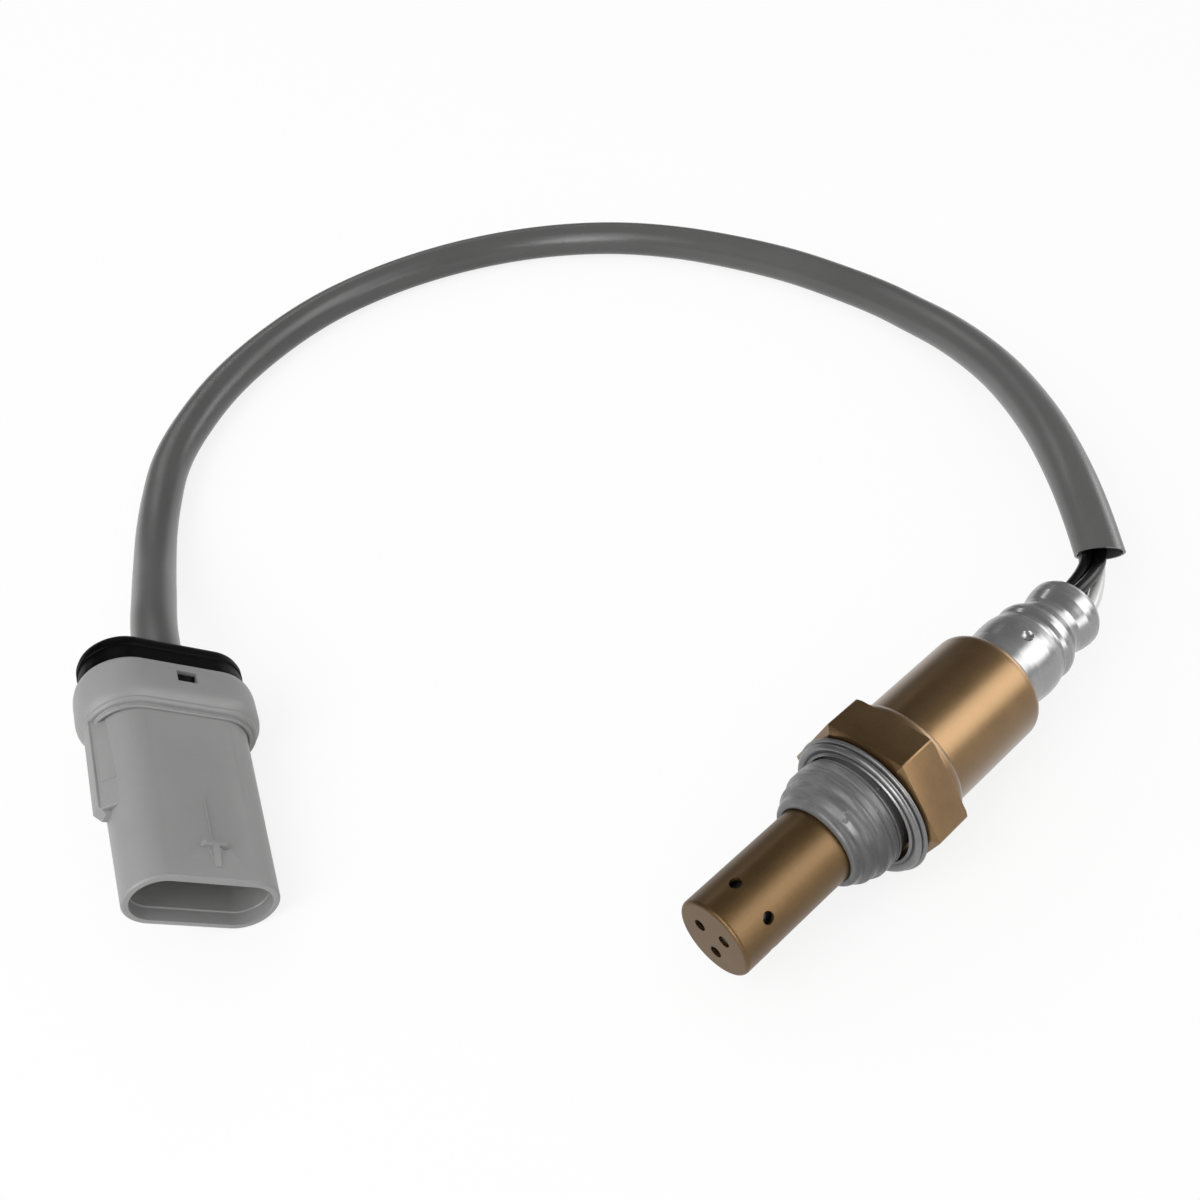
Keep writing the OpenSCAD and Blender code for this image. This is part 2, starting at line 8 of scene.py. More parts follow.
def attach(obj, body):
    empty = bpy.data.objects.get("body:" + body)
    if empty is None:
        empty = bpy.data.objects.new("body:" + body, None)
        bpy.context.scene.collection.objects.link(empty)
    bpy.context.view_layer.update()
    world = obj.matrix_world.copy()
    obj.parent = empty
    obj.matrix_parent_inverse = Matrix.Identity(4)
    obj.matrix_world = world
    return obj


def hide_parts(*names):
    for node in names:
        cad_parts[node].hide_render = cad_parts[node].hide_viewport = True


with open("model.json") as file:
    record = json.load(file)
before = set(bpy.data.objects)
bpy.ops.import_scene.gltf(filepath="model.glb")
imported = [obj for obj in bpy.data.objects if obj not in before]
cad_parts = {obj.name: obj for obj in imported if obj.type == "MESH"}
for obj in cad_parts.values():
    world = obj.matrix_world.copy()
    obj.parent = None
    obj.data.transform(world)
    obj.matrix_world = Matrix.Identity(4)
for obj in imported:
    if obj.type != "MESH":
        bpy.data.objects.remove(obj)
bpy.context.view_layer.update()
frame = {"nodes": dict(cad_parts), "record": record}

scene = bpy.context.scene
scene.view_settings.view_transform = "Standard"
print("frame loaded:", len(frame["nodes"]), "nodes")

# The camera stands where the picture was taken from.
cameraLook = {
    "place": (-0.11056, -0.0778, 0.16109),
    "right": (0.72005, -0.68377, -0.11828),
    "forward": (0.46427, 0.60138, -0.65023),
    "focalPixels": 1349.2, "centrePixels": (603.6, 598.5), "framePixels": 1200,
    "sensorWidth": 36, "nearest": 0.01,
}


def addCamera(look):
    size = look["framePixels"]
    data = bpy.data.cameras.new("lens")
    data.sensor_width = look["sensorWidth"]
    data.lens = look["sensorWidth"] * look["focalPixels"] / size
    data.shift_x = -(look["centrePixels"][0] - size / 2) / size
    data.shift_y = (look["centrePixels"][1] - size / 2) / size
    data.clip_start = look["nearest"]
    forward = Vector(look["forward"]).normalized()
    right = (Vector(look["right"]) - forward * Vector(look["right"]).dot(forward)).normalized()
    up = right.cross(forward)
    camera = bpy.data.objects.new("camera", data)
    turn = Matrix((right, up, -forward)).transposed().to_4x4()
    camera.matrix_world = Matrix.Translation(look["place"]) @ turn
    scene.collection.objects.link(camera)
    scene.camera = camera


addCamera(cameraLook)
print("camera placed")


# Finishes. Patterns are laid on object coordinates, in metres.
def addNode(tree, kind, links=(), **values):  # a value named like an input sets that input
    node = tree.nodes.new(kind)
    for name, value in values.items():
        if name in node.inputs:
            node.inputs[name].default_value = value
        else:
            setattr(node, name, value)
    for source, socket in links:
        tree.links.new(source, node.inputs[socket])
    return node


def addRamp(tree, source, stops):
    ramp = tree.nodes.new("ShaderNodeValToRGB")
    tree.links.new(source, ramp.inputs["Fac"])
    while len(ramp.color_ramp.elements) < len(stops):
        ramp.color_ramp.elements.new(0.5)
    for element, (at, colour) in zip(ramp.color_ramp.elements, stops):
        element.position = at
        element.color = (*colour, 1)
    return ramp.outputs["Color"]


def addRange(tree, source, fromRange, toRange):
    spread = addNode(tree, "ShaderNodeMapRange", [(source, "Value")])
    spread.inputs["From Min"].default_value, spread.inputs["From Max"].default_value = fromRange
    spread.inputs["To Min"].default_value, spread.inputs["To Max"].default_value = toRange
    return spread.outputs["Result"]


def addBump(tree, shader, source, strength, distance):
    bump = addNode(tree, "ShaderNodeBump", [(source, "Height")], Strength=strength, Distance=distance)
    tree.links.new(bump.outputs["Normal"], shader.inputs["Normal"])


def newMaterial(name, look):
    material = bpy.data.materials.new(name)
    material.use_nodes = True
    tree = material.node_tree
    shader = tree.nodes["Principled BSDF"]
    shader.inputs["Metallic"].default_value = look.get("metal", 0)
    shader.inputs["Coat Weight"].default_value = look.get("coat", 0)
    shader.inputs["Coat Roughness"].default_value = look.get("coatRough", 0.1)
    shader.inputs["Specular IOR Level"].default_value = look.get("specular", 0.5)
    return material, tree, shader


noiseSpan = (0.3, 0.7)  # nearly all of a noise's values lie between these


def makeFinish(name, look):  # a broad cloud and a fine grain, mixed, give the colour and the roughness
    material, tree, shader = newMaterial(name, look)
    where = addNode(tree, "ShaderNodeTexCoord").outputs["Object"]
    stretched = addNode(tree, "ShaderNodeMapping", [(where, "Vector")], Scale=look.get("stretch", (1, 1, 1)))
    cloud = addNode(tree, "ShaderNodeTexNoise", [(where, "Vector")], Scale=look["cloudScale"], Detail=5,
                    Roughness=0.6)
    grain = addNode(tree, "ShaderNodeTexNoise", [(stretched.outputs["Vector"], "Vector")],
                    Scale=look["grainScale"], Detail=4, Roughness=0.65)
    both = addNode(tree, "ShaderNodeMix", [(cloud.outputs["Fac"], "A"), (grain.outputs["Fac"], "B")],
                   data_type="FLOAT", Factor=look.get("grainShare", 0.4)).outputs["Result"]
    tree.links.new(addRamp(tree, both, look["colours"]), shader.inputs["Base Color"])
    tree.links.new(addRange(tree, both, noiseSpan, look["rough"]), shader.inputs["Roughness"])
    if look.get("bump"):
        addBump(tree, shader, grain.outputs["Fac"], *look["bump"])
    return material


tonedSteel = {  # heat-toned steel: a mottled brown film over a fine even grain
    "metal": 0.92, "coat": 0.6, "coatRough": 0.3, "cloudScale": 260, "grainScale": 2600, "grainShare": 0.45,
    "colours": [(0.3, (0.155, 0.087, 0.03)), (0.5, (0.175, 0.1, 0.036)), (0.7, (0.2, 0.116, 0.044))],
    "rough": (0.3, 0.38), "bump": (0.12, 0.00004),
}
scaledTube = dict(  # the probe's tube has run hotter: darker and duller
    tonedSteel, coat=0.2, rough=(0.42, 0.5),
    colours=[(0.3, (0.115, 0.066, 0.026)), (0.5, (0.135, 0.08, 0.032)), (0.7, (0.16, 0.096, 0.041))])
brightSteel = {
    "metal": 0.72, "cloudScale": 240, "grainScale": 1800, "grainShare": 0.4,
    "colours": [(0.3, (0.27, 0.27, 0.27)), (0.5, (0.3, 0.3, 0.3)), (0.7, (0.33, 0.33, 0.33))],
    "rough": (0.2, 0.26), "bump": (0.06, 0.00004),
}
foldedSheet = {
    "metal": 0.8, "cloudScale": 320, "grainScale": 1500, "grainShare": 0.4,
    "colours": [(0.3, (0.16, 0.16, 0.16)), (0.5, (0.2, 0.2, 0.2)), (0.7, (0.24, 0.24, 0.24))],
    "rough": (0.3, 0.38), "bump": (0.05, 0.00004),
}
innerSteel = {
    "metal": 1, "cloudScale": 200, "grainScale": 120, "stretch": (20, 1, 1),
    "colours": [(0.3, (0.38, 0.37, 0.35)), (0.7, (0.6, 0.58, 0.55))], "rough": (0.35, 0.5),
}
fineCeramic = {
    "cloudScale": 300, "grainScale": 2500, "colours": [(0.3, (0.78, 0.76, 0.7)), (0.7, (0.87, 0.85, 0.8))],
    "rough": (0.45, 0.6), "bump": (0.1, 0.0001),
}
pressedPowder = {
    "cloudScale": 400, "grainScale": 4000, "colours": [(0.3, (0.5, 0.49, 0.44)), (0.7, (0.66, 0.64, 0.58))],
    "rough": (0.8, 0.95), "bump": (0.4, 0.0002),
}
contactMetal = {
    "metal": 1, "cloudScale": 300, "grainScale": 800, "stretch": (1, 6, 1),
    "colours": [(0.3, (0.55, 0.5, 0.38)), (0.7, (0.74, 0.7, 0.56))], "rough": (0.25, 0.4),
}
blackRubber = {
    "cloudScale": 250, "grainScale": 2200,
    "colours": [(0.3, (0.012, 0.012, 0.012)), (0.7, (0.03, 0.03, 0.03))],
    "rough": (0.5, 0.7), "bump": (0.25, 0.0001),
}
blackWire = {
    "cloudScale": 250, "grainScale": 1500, "specular": 0.1,
    "colours": [(0.3, (0.002, 0.002, 0.002)), (0.7, (0.004, 0.004, 0.004))],
    "rough": (0.2, 0.28), "bump": (0.06, 0.0001),
}
greyWire = dict(blackWire, specular=0.3, colours=[(0.3, (0.09, 0.09, 0.09)), (0.7, (0.13, 0.13, 0.13))])
whiteWire = dict(blackWire, specular=0.4, colours=[(0.3, (0.74, 0.74, 0.73)), (0.7, (0.84, 0.84, 0.83))])
mouldedGrey = {  # connector plastic with a fine moulded grain
    "cloudScale": 60, "grainScale": 3200, "grainShare": 0.35,
    "colours": [(0.3, (0.255, 0.255, 0.254)), (0.5, (0.275, 0.275, 0.274)), (0.7, (0.295, 0.295, 0.294))],
    "rough": (0.4, 0.5), "bump": (0.12, 0.00005),
}
mouldedBlack = dict(mouldedGrey, colours=[(0.3, (0.0008, 0.0008, 0.0008)), (0.7, (0.002, 0.002, 0.002))],
                    specular=0.05)
greySleeve = {
    "cloudScale": 45, "rough": 0.24, "specular": 0.3, "ribScale": 500, "bump": (0.1, 0.0002),
    "colours": [(0.3, (0.086, 0.086, 0.085)), (0.7, (0.098, 0.098, 0.097))],
}

finishes = {
    "toned_steel": makeFinish("tonedSteel", tonedSteel),
    "bright_steel": makeFinish("brightSteel", brightSteel),
    "gasket_steel": makeFinish("foldedSheet", foldedSheet),
    "inner_steel": makeFinish("innerSteel", innerSteel),
    "white_ceramic": makeFinish("fineCeramic", fineCeramic),
    "pressed_powder": makeFinish("pressedPowder", pressedPowder),
    "contact_metal": makeFinish("contactMetal", contactMetal),
    "black_rubber": makeFinish("blackRubber", blackRubber),
    "black_wire": makeFinish("blackWire", blackWire),
    "grey_wire": makeFinish("greyWire", greyWire),
    "white_wire": makeFinish("whiteWire", whiteWire),
    "grey_plastic": makeFinish("mouldedGrey", mouldedGrey),
    "black_plastic": makeFinish("mouldedBlack", mouldedBlack),
}


def makeSleeveFinish(look):  # faint ribs run round the sleeve
    material, tree, shader = newMaterial("greySleeve", look)
    along = addNode(tree, "ShaderNodeUVMap", uv_map="alongTube").outputs["UV"]  # u is metres along, v round
    where = addNode(tree, "ShaderNodeTexCoord").outputs["Object"]
    cloud = addNode(tree, "ShaderNodeTexNoise", [(where, "Vector")], Scale=look["cloudScale"], Detail=4)
    tree.links.new(addRamp(tree, cloud.outputs["Fac"], look["colours"]), shader.inputs["Base Color"])
    shader.inputs["Roughness"].default_value = look["rough"]
    ribs = addNode(tree, "ShaderNodeTexWave", [(along, "Vector")], Scale=look["ribScale"], Distortion=1.5,
                   Detail=1.5, wave_type="BANDS", bands_direction="X")
    addBump(tree, shader, ribs.outputs["Fac"], *look["bump"])
    return material


finishes["grey_sleeve"] = makeSleeveFinish(greySleeve)
print("finishes made:", len(finishes))

for part in frame["record"]["subparts"]:
    node = frame["nodes"][part["node"]]
    if not node.material_slots:
        node.data.materials.append(None)
    for place in node.material_slots:
        place.material = finishes[part["material_slot"]]
frame["nodes"]["outer_tube"].material_slots[0].material = makeFinish("scaledTube", scaledTube)


def makePiece(name, bm, slotName, replaced=(), sharp=50, material=None):
    for face in bm.faces:
        face.smooth = True
    for edge in bm.edges:
        edge.smooth = len(edge.link_faces) != 2 or edge.calc_face_angle(0) < radians(sharp)
    mesh = bpy.data.meshes.new(name)
    bm.to_mesh(mesh)
    bm.free()
    mesh.materials.append(material or finishes[slotName])
    piece = bpy.data.objects.new(name, mesh)
    scene.collection.objects.link(piece)
    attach(piece, "root")
    if replaced:
        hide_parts(*replaced)
    return piece


# The sleeve runs along the part's own route; the wires twist between the tail and its cut end.
axisHeight = 0.0113  # the sensor lies along x, at this height
halfLength = 0.0414  # its tip is at -x, its tail at +x
plugLook = {"mouth": (-0.0847, 0.0597, 0.0093), "yaw": -23.5, "pitch": 4.75, "roll": -39}
plugFrame = (Matrix.Translation(plugLook["mouth"]) @ Matrix.Rotation(radians(plugLook["yaw"]), 4, "Z")
             @ Matrix.Rotation(radians(plugLook["pitch"] + 90), 4, "X")
             @ Matrix.Rotation(radians(plugLook["roll"]), 4, "Z"))  # mouth at z 0, facing +z
sleeveLook = {
    "diameter": 0.008, "bore": 0.0072, "length": 0.418, "ring": 36, "step": 0.0012,
    "route": [  # millimetres, from the cut end to the plug
        (58.4, 4.5, 9.6), (63.6, 10, 11), (69.2, 16.1, 12), (75.8, 23.3, 12), (83.2, 31.6, 11.2),
        (90.9, 41.1, 9.8), (98.2, 51.3, 8.2), (104.1, 61.8, 6.8), (108.6, 72, 5.6), (111.6, 82.5, 4.8),
        (113.8, 92, 4.3), (114.8, 102, 4.1), (114.8, 120, 4.1), (112.4, 137, 4.1), (108, 153.5, 4.1),
        (101.2, 168, 4.1), (91.6, 180.4, 4.1), (79.8, 190.3, 4.1), (66.1, 197.6, 4.1), (50.6, 202.1, 4.1),
        (33.7, 203.2, 4.1), (15.5, 199.8, 4.1), (-2.8, 192.4, 4.1), (-19.6, 181, 4.1), (-28.2, 172.8, 4.15),
        (-35.6, 163.1, 4.3), (-42.4, 152.5, 5), (-48.6, 141, 6.6), (-54.5, 128.7, 9.4), (-60, 116.9, 12),
    ],
    "intoCap": (-0.0493, -0.04432),  # where it ends, below the plug's mouth
    "mouthTurn": (-0.72, -0.62, -0.30), "mouthCut": (-0.62, -0.52, -0.58), "cutFade": 0.006,
    "boreRings": 14, "lip": 0.0001,
}
wireLook = {
    "diameter": 0.0021, "circle": 0.0027, "ring": 20, "step": 0.0006,
    "inTail": (0.006, 0.003), "leaving": 0.0037, "entering": 0.004, "bendSteps": 8,
    "aside": 0.00122, "gap": 0.00001,  # the four lie together against one wall of the sleeve
    "sleeveStep": 0.002, "sleeveSteps": 5,
    "wires": [  # piece, slot, node, place in the tail, place in the sleeve's mouth
        ("wireBlackUpper", "black_wire", "wire_black_upper", (0, 1), (-1, 1)),
        ("wireBlackLower", "black_wire", "wire_black_lower", (1, 0), (1, 1)),
        ("wireGrey", "grey_wire", "wire_grey", (0, -1), (1, -1)),
        ("wireWhite", "white_wire", "wire_white", (-1, 0), (-1, -1)),
    ],
}


def smoothLine(points, step):
    line = []
    for i in range(len(points) - 1):
        a, b = points[i], points[i + 1]
        before = points[i - 1] if i else a * 2 - b
        after = points[i + 2] if i + 2 < len(points) else b * 2 - a
        spans = [sqrt((q - p).length) for p, q in ((before, a), (a, b), (b, after))]
        slopeA = (a - before) / spans[0] - (b - before) / (spans[0] + spans[1]) + (b - a) / spans[1]
        slopeB = (b - a) / spans[1] - (after - a) / (spans[1] + spans[2]) + (after - b) / spans[2]
        slopeA, slopeB = slopeA * spans[1], slopeB * spans[1]
        count = max(1, round((b - a).length / step))
        for k in range(count):
            t = k / count
            line.append(a * (2 * t**3 - 3 * t**2 + 1) + slopeA * (t**3 - 2 * t**2 + t)
                        + b * (3 * t**2 - 2 * t**3) + slopeB * (t**3 - t**2))
    return line + [points[-1]]


def framesAlong(line):
    frames, side = [], None
    for i, point in enumerate(line):
        forward = (line[min(i + 1, len(line) - 1)] - line[max(i - 1, 0)]).normalized()
        side = side or forward.cross(Vector((0, 0, 1)))
        side = (side - forward * side.dot(forward)).normalized()
        frames.append(Matrix((side, forward.cross(side), forward)).transposed().to_4x4())
        frames[-1].translation = point
    return frames


def makeTube(frames, radii, ring):  # a ring is extruded from frame to frame
    bm = bmesh.new()
    uv = bm.loops.layers.uv.new("alongTube")
    at = bm.verts.layers.float.new("along")
    rows = [bmesh.ops.create_circle(bm, segments=ring, radius=1, cap_ends=False,
                                    matrix=frames[0] @ Matrix.Scale(radii[0], 4))["verts"]]
    edges = list(bm.edges)
    along = 0
    for i in range(1, len(frames)):
        along += (frames[i].translation - frames[i - 1].translation).length
        made = bmesh.ops.extrude_edge_only(bm, edges=edges)["geom"]
        verts = [g for g in made if isinstance(g, bmesh.types.BMVert)]
        edges = [e for e in made if isinstance(e, bmesh.types.BMEdge) and e.is_boundary]
        before = frames[i - 1] @ Matrix.Scale(radii[i - 1], 4)
        move = frames[i] @ Matrix.Scale(radii[i], 4) @ before.inverted()
        bmesh.ops.transform(bm, matrix=move, verts=verts)
        for vert in verts:
            vert[at] = along
        rows.append(verts)
    bmesh.ops.holes_fill(bm, edges=[e for e in bm.edges if e.is_boundary])
    bmesh.ops.recalc_face_normals(bm, faces=bm.faces)
    turns = {}
    for matrix, verts in zip(frames, rows):
        inverse = matrix.inverted()
        for vert in verts:
            spot = inverse @ vert.co
            turns[vert] = (Vector((spot.x, spot.y)).angle_signed(Vector((1, 0))) / (2 * pi)) % 1
    for face in bm.faces:
        around = [turns[loop.vert] for loop in face.loops]
        for loop, turn in zip(face.loops, around):
            if max(around) - min(around) > 0.5 and turn < 0.5:  # the face crosses the seam
                turn += 1
            loop[uv].uv = (loop.vert[at], turn)
    return bm, rows


def inPlug(x, y, z):
    return plugFrame @ Vector((x, y, z))


sleeveRoute = [Vector(p) / 1000 for p in sleeveLook["route"]]
sleeveRoute += [inPlug(0, 0, depth) for depth in sleeveLook["intoCap"]]
mouthTurn = Vector(sleeveLook["mouthTurn"]).normalized()
mouthCut = Vector(sleeveLook["mouthCut"]).normalized()


def makeSleeve(look):  # the tube starts inside, comes out round the cut end and runs to the plug
    line = smoothLine(sleeveRoute, look["step"])
    frames = framesAlong(line)
    bore, outer, lip = look["bore"] / 2, look["diameter"] / 2, look["lip"]
    inside = frames[look["boreRings"]:0:-1] + frames[:1]
    order = inside + [frames[0]] * 3 + frames[1:]
    radii = [bore] * len(inside) + [bore + lip, outer - lip, outer] + [outer] * (len(frames) - 1)
    bm, rows = makeTube(order, radii, look["ring"])
    forward = (line[1] - line[0]).normalized()
    for verts, matrix in zip(rows, order):  # the cut at the mouth slants
        fade = max(0, 1 - (matrix.translation - line[0]).length / look["cutFade"])
        for vert in verts:
            slant = -(vert.co - matrix.translation).dot(mouthCut) / forward.dot(mouthCut)
            vert.co += forward * slant * fade
    return makePiece("sleeveTube", bm, "grey_sleeve", ["sleeve"]), line


sleeveTube, sleeveLine = makeSleeve(sleeveLook)
print("sleeve made")


def makeWire(look, name, slotName, node, inTail, inMouth):
    out = Vector((halfLength, look["circle"] * inTail[0], axisHeight + look["circle"] * inTail[1]))
    mouthSide = Vector((0, 0, 1)).cross(mouthTurn).normalized()
    mouthUp = mouthTurn.cross(mouthSide)
    bundle = look["diameter"] / 2 + look["gap"]
    enter = sleeveRoute[0] - mouthSide * (bundle * inMouth[0] + look["aside"]) + mouthUp * bundle * inMouth[1]
    points = [out - Vector((depth, 0, 0)) for depth in look["inTail"]] + [out]
    a, b, c, d = out, out + Vector((look["leaving"], 0, 0)), enter + mouthTurn * look["entering"], enter
    for k in range(1, look["bendSteps"] + 1):  # one smooth bend from the tail to the sleeve's mouth
        t = k / look["bendSteps"]
        points.append(a * (1 - t)**3 + b * 3 * t * (1 - t)**2 + c * 3 * t * t * (1 - t) + d * t**3)
    inside = framesAlong(smoothLine(sleeveRoute, look["sleeveStep"]))
    shift = inside[0].inverted() @ enter
    points += [place @ Vector((shift.x, shift.y, 0)) for place in inside[1:look["sleeveSteps"] + 1]]
    line = smoothLine(points, look["step"])
    frames = framesAlong(line)
    bm = makeTube(frames, [look["diameter"] / 2] * len(frames), look["ring"])[0]
    piece = makePiece(name, bm, slotName, [node], sharp=60)


for wire in wireLook["wires"]:
    makeWire(wireLook, *wire)
print("wires made")


# Metal body: hexagon with its collar, the folded gasket, and the threaded nose under its assembly paste.
sameSpot = 1e-7


def mmPoint(s, r):  # s counts from the tip, r from the axis, both in millimetres
    return Vector((s / 1000 - halfLength, 0, axisHeight + r / 1000))


def spinOutline(bm, outline, steps, closed=True):
    verts = [bm.verts.new(mmPoint(s, r)) for s, r in outline]
    after = verts[1:] + verts[:1] if closed else verts[1:]
    edges = [bm.edges.new(pair) for pair in zip(verts, after)]
    bmesh.ops.spin(bm, geom=verts + edges, cent=(0, 0, axisHeight), axis=(1, 0, 0), dvec=(0, 0, 0),
                   angle=2 * pi, steps=steps, use_merge=True)
    bmesh.ops.remove_doubles(bm, verts=bm.verts, dist=sameSpot)
    bmesh.ops.recalc_face_normals(bm, faces=bm.faces)


def softenEdges(bm, width, angle, segments=3, keep=None):
    edges = [e for e in bm.edges if len(e.link_faces) == 2 and e.calc_face_angle(0) > radians(angle)
             and (keep is None or keep(e))]
    bmesh.ops.bevel(bm, geom=edges, offset=width, offset_type="OFFSET", segments=segments, profile=0.5,
                    affect="EDGES", clamp_overlap=True, material=-1)


def cutFlat(bm, point, outward):
    made = bmesh.ops.bisect_plane(bm, geom=bm.verts[:] + bm.edges[:] + bm.faces[:], dist=sameSpot,
                                  plane_co=point, plane_no=outward, clear_outer=True)
    edges = [g for g in made["geom_cut"] if isinstance(g, bmesh.types.BMEdge) and g.is_boundary]
    bmesh.ops.edgeloop_fill(bm, edges=edges)


def offAxis(vert):
    return Vector((0, vert.co.y, vert.co.z - axisHeight))


hexLook = {
    "seat": 31, "middle": 34, "flat": 11, "turn": -1.5, "around": 144,
    "chamfer": 0.6, "chamferTilt": 63,  # its length along the axis, and its lean in degrees
    "edge": 0.0001, "edgeAngle": 18, "edgeFrom": 0.0108,  # nearer to the axis the edges stay crisp
    "outline": [
        (31, 8.2), (31, 12.63), (37.85, 12.63), (38.05, 12.3), (38.05, 10.9), (38.6, 10.88), (39.1, 10.8),
        (39.5, 10.65), (39.85, 10.42), (40.15, 10.12), (40.4, 9.8), (40.58, 9.5), (40.65, 9.2),
        (39.3, 9.1), (39.3, 8.2),
    ],
}


def makeHexBody(look):
    bm = bmesh.new()
    spinOutline(bm, look["outline"], look["around"])
    tilt = radians(look["chamferTilt"])
    for side in range(6):
        around = radians(60 * side + 90 + look["turn"])
        out = Vector((0, cos(around), sin(around)))
        cutFlat(bm, mmPoint(look["middle"], 0) + out * look["flat"] / 1000, out)
        chamferAt = mmPoint(look["seat"] + look["chamfer"], 0) + out * look["flat"] / 1000
        cutFlat(bm, chamferAt, out * cos(tilt) - Vector((sin(tilt), 0, 0)))
    softenEdges(bm, look["edge"], look["edgeAngle"],
                keep=lambda e: all(offAxis(v).length > look["edgeFrom"] for v in e.verts))
    makePiece("hexBody", bm, "toned_steel", ["housing"])


makeHexBody(hexLook)

gasketLook = {
    "around": 160, "aside": (0, -0.0003, 0),
    "outline": [  # lip against the thread, cone, front roll, thin groove, rim, back
        (30.6, 9.2), (29.9, 9.0), (29.35, 8.96), (29.16, 9.0), (29.08, 9.1), (29.12, 9.2), (29.28, 9.3),
        (29.34, 9.4), (29.28, 9.52), (29.14, 9.7), (29.03, 9.92), (28.97, 10.12), (28.95, 10.3),
        (28.99, 10.46), (29.09, 10.62), (29.26, 10.76), (29.46, 10.84), (29.64, 10.85), (29.76, 10.78),
        (29.84, 10.66), (29.9, 10.62), (29.93, 10.8), (29.96, 11), (30.04, 11.16), (30.16, 11.25),
        (30.3, 11.28), (30.42, 11.22), (30.48, 11.04), (30.5, 10.6), (30.56, 10.4), (31.02, 10.35),
        (31.02, 9.2),
    ],
}


def makeGasket(look):
    bm = bmesh.new()
    spinOutline(bm, look["outline"], look["around"])
    bmesh.ops.translate(bm, vec=look["aside"], verts=bm.verts)  # it hangs loose on the thread
    makePiece("crushGasket", bm, "gasket_steel", ["gasket"], sharp=60)


makeGasket(gasketLook)

noseLook = {
    "around": 300, "axialStep": 0.07, "highest": 0.3,
    "pitch": 1.5, "groove": 0.17, "crestShare": 0.4, "grooveFade": 1.5, "threaded": (23.6, 25, 28.4, 29),
    "smear": 0.06, "swellShare": 0.8, "streakShare": 0.35, "smeared": (20.6, 21.5, 29, 29.6),
    "patch": (0.5, 1.3, (9, 0, 0)), "patchShare": (0.6, 0.5),  # an unevenness: along, round, shift
    "swell": (0.5, 1.2, (0, 0, 0)), "streak": (2.1, 1.7, (0, 0, 4)),
    "outline": [  # the paste fills the thread, so the outline runs over softened crests
        (20.95, 6.06), (20.66, 6.08), (20.5, 6.22), (20.48, 6.55), (20.6, 6.95), (20.88, 7.2), (21.2, 7.32),
        (21.55, 7.4), (21.9, 7.58), (22.25, 7.9), (22.6, 8.18), (23.1, 8.34), (23.6, 8.38), (24, 8.48),
        (24.35, 8.7), (24.7, 8.9), (25.1, 8.98), (26.4, 9), (27.6, 9), (28.1, 8.95), (28.5, 8.8),
        (28.9, 8.6), (29.4, 8.46), (31.2, 8.4),
    ],
    "beadCircle": 8.6,  # beads: place along, degrees round, size, height
    "beads": [(29.02, 61, 0.34, 0.3), (22.2, 60, 0.4, 0.16), (22.9, 66, 0.3, 0.12), (26.4, 48, 0.24, 0.1)],
}
pasteLook = {
    "metal": 0.1, "stretch": (5, 1, 1), "cloudScale": 170, "wetScale": 500,
    "colours": [(0.3, (0.105, 0.105, 0.105)), (0.5, (0.13, 0.13, 0.13)), (0.7, (0.155, 0.155, 0.155))],
    # painted shade: the paste's colour darkens where it faces down, towards the lower side
    "shadedSide": (0, -0.86, -0.5), "shade": [(0.1, (1, 1, 1)), (0.85, (0.35, 0.35, 0.35))],
    "wet": (0.35, 0.65), "rough": (0.24, 0.46), "bump": (0.12, 0.0003),
}


def between(s, span):  # rises from 0 to 1, and falls to 0 again
    start, full, falling, end = span
    return min(1, max(0, (s - start) / (full - start))) * min(1, max(0, (end - s) / (end - falling)))


def unevenness(s, out, pattern):
    along, around, shift = pattern
    return noise.noise(Vector((s * along, out.y * around, out.z * around)) + Vector(shift))


def pasteRise(look, s, out, angle):
    thread = cos(2 * pi * (s / look["pitch"]) - angle)
    least, more = look["patchShare"]
    patch = least + more * unevenness(s, out, look["patch"])
    valley = max(0, (-thread - look["crestShare"]) / (1 - look["crestShare"])) ** look["grooveFade"]
    rise = -look["groove"] * valley * patch * between(s, look["threaded"])
    smear = look["swellShare"] * unevenness(s, out, look["swell"])
    smear += look["streakShare"] * unevenness(s, out, look["streak"])
    rise += look["smear"] * smear * between(s, look["smeared"])
    for beadS, degrees, size, height in look["beads"]:
        across = (angle - radians(degrees) + pi) % (2 * pi) - pi
        near = ((s - beadS) ** 2 + (across * look["beadCircle"]) ** 2) / size**2
        rise += height * max(0, 1 - near) ** 2
    return min(rise, look["highest"])


def makePasteFinish(look):
    material, tree, shader = newMaterial("assemblyPaste", look)
    spots = addNode(tree, "ShaderNodeTexCoord").outputs
    drawn = addNode(tree, "ShaderNodeMapping", [(spots["Object"], "Vector")], Scale=look["stretch"])
    cloud = addNode(tree, "ShaderNodeTexNoise", [(drawn.outputs["Vector"], "Vector")],
                    Scale=look["cloudScale"], Detail=5, Roughness=0.5, Distortion=0.3)
    colour = addRamp(tree, cloud.outputs["Fac"], look["colours"])
    # painted shade: the facing towards the lower side picks a darker colour
    facing = addNode(tree, "ShaderNodeVectorMath", [(spots["Normal"], 0)], operation="DOT_PRODUCT")
    facing.inputs[1].default_value = look["shadedSide"]
    paintedShade = addRamp(tree, facing.outputs["Value"], look["shade"])  # painted shade: darker on the side facing down, where less light falls
    shaded = addNode(tree, "ShaderNodeVectorMath", [(colour, 0), (paintedShade, 1)], operation="MULTIPLY")
    tree.links.new(shaded.outputs["Vector"], shader.inputs["Base Color"])
    wet = addNode(tree, "ShaderNodeTexNoise", [(drawn.outputs["Vector"], "Vector")], Scale=look["wetScale"],
                  Detail=3)
    rough = addRange(tree, wet.outputs["Fac"], look["wet"], look["rough"])
    tree.links.new(rough, shader.inputs["Roughness"])
    addBump(tree, shader, cloud.outputs["Fac"], *look["bump"])
    return material


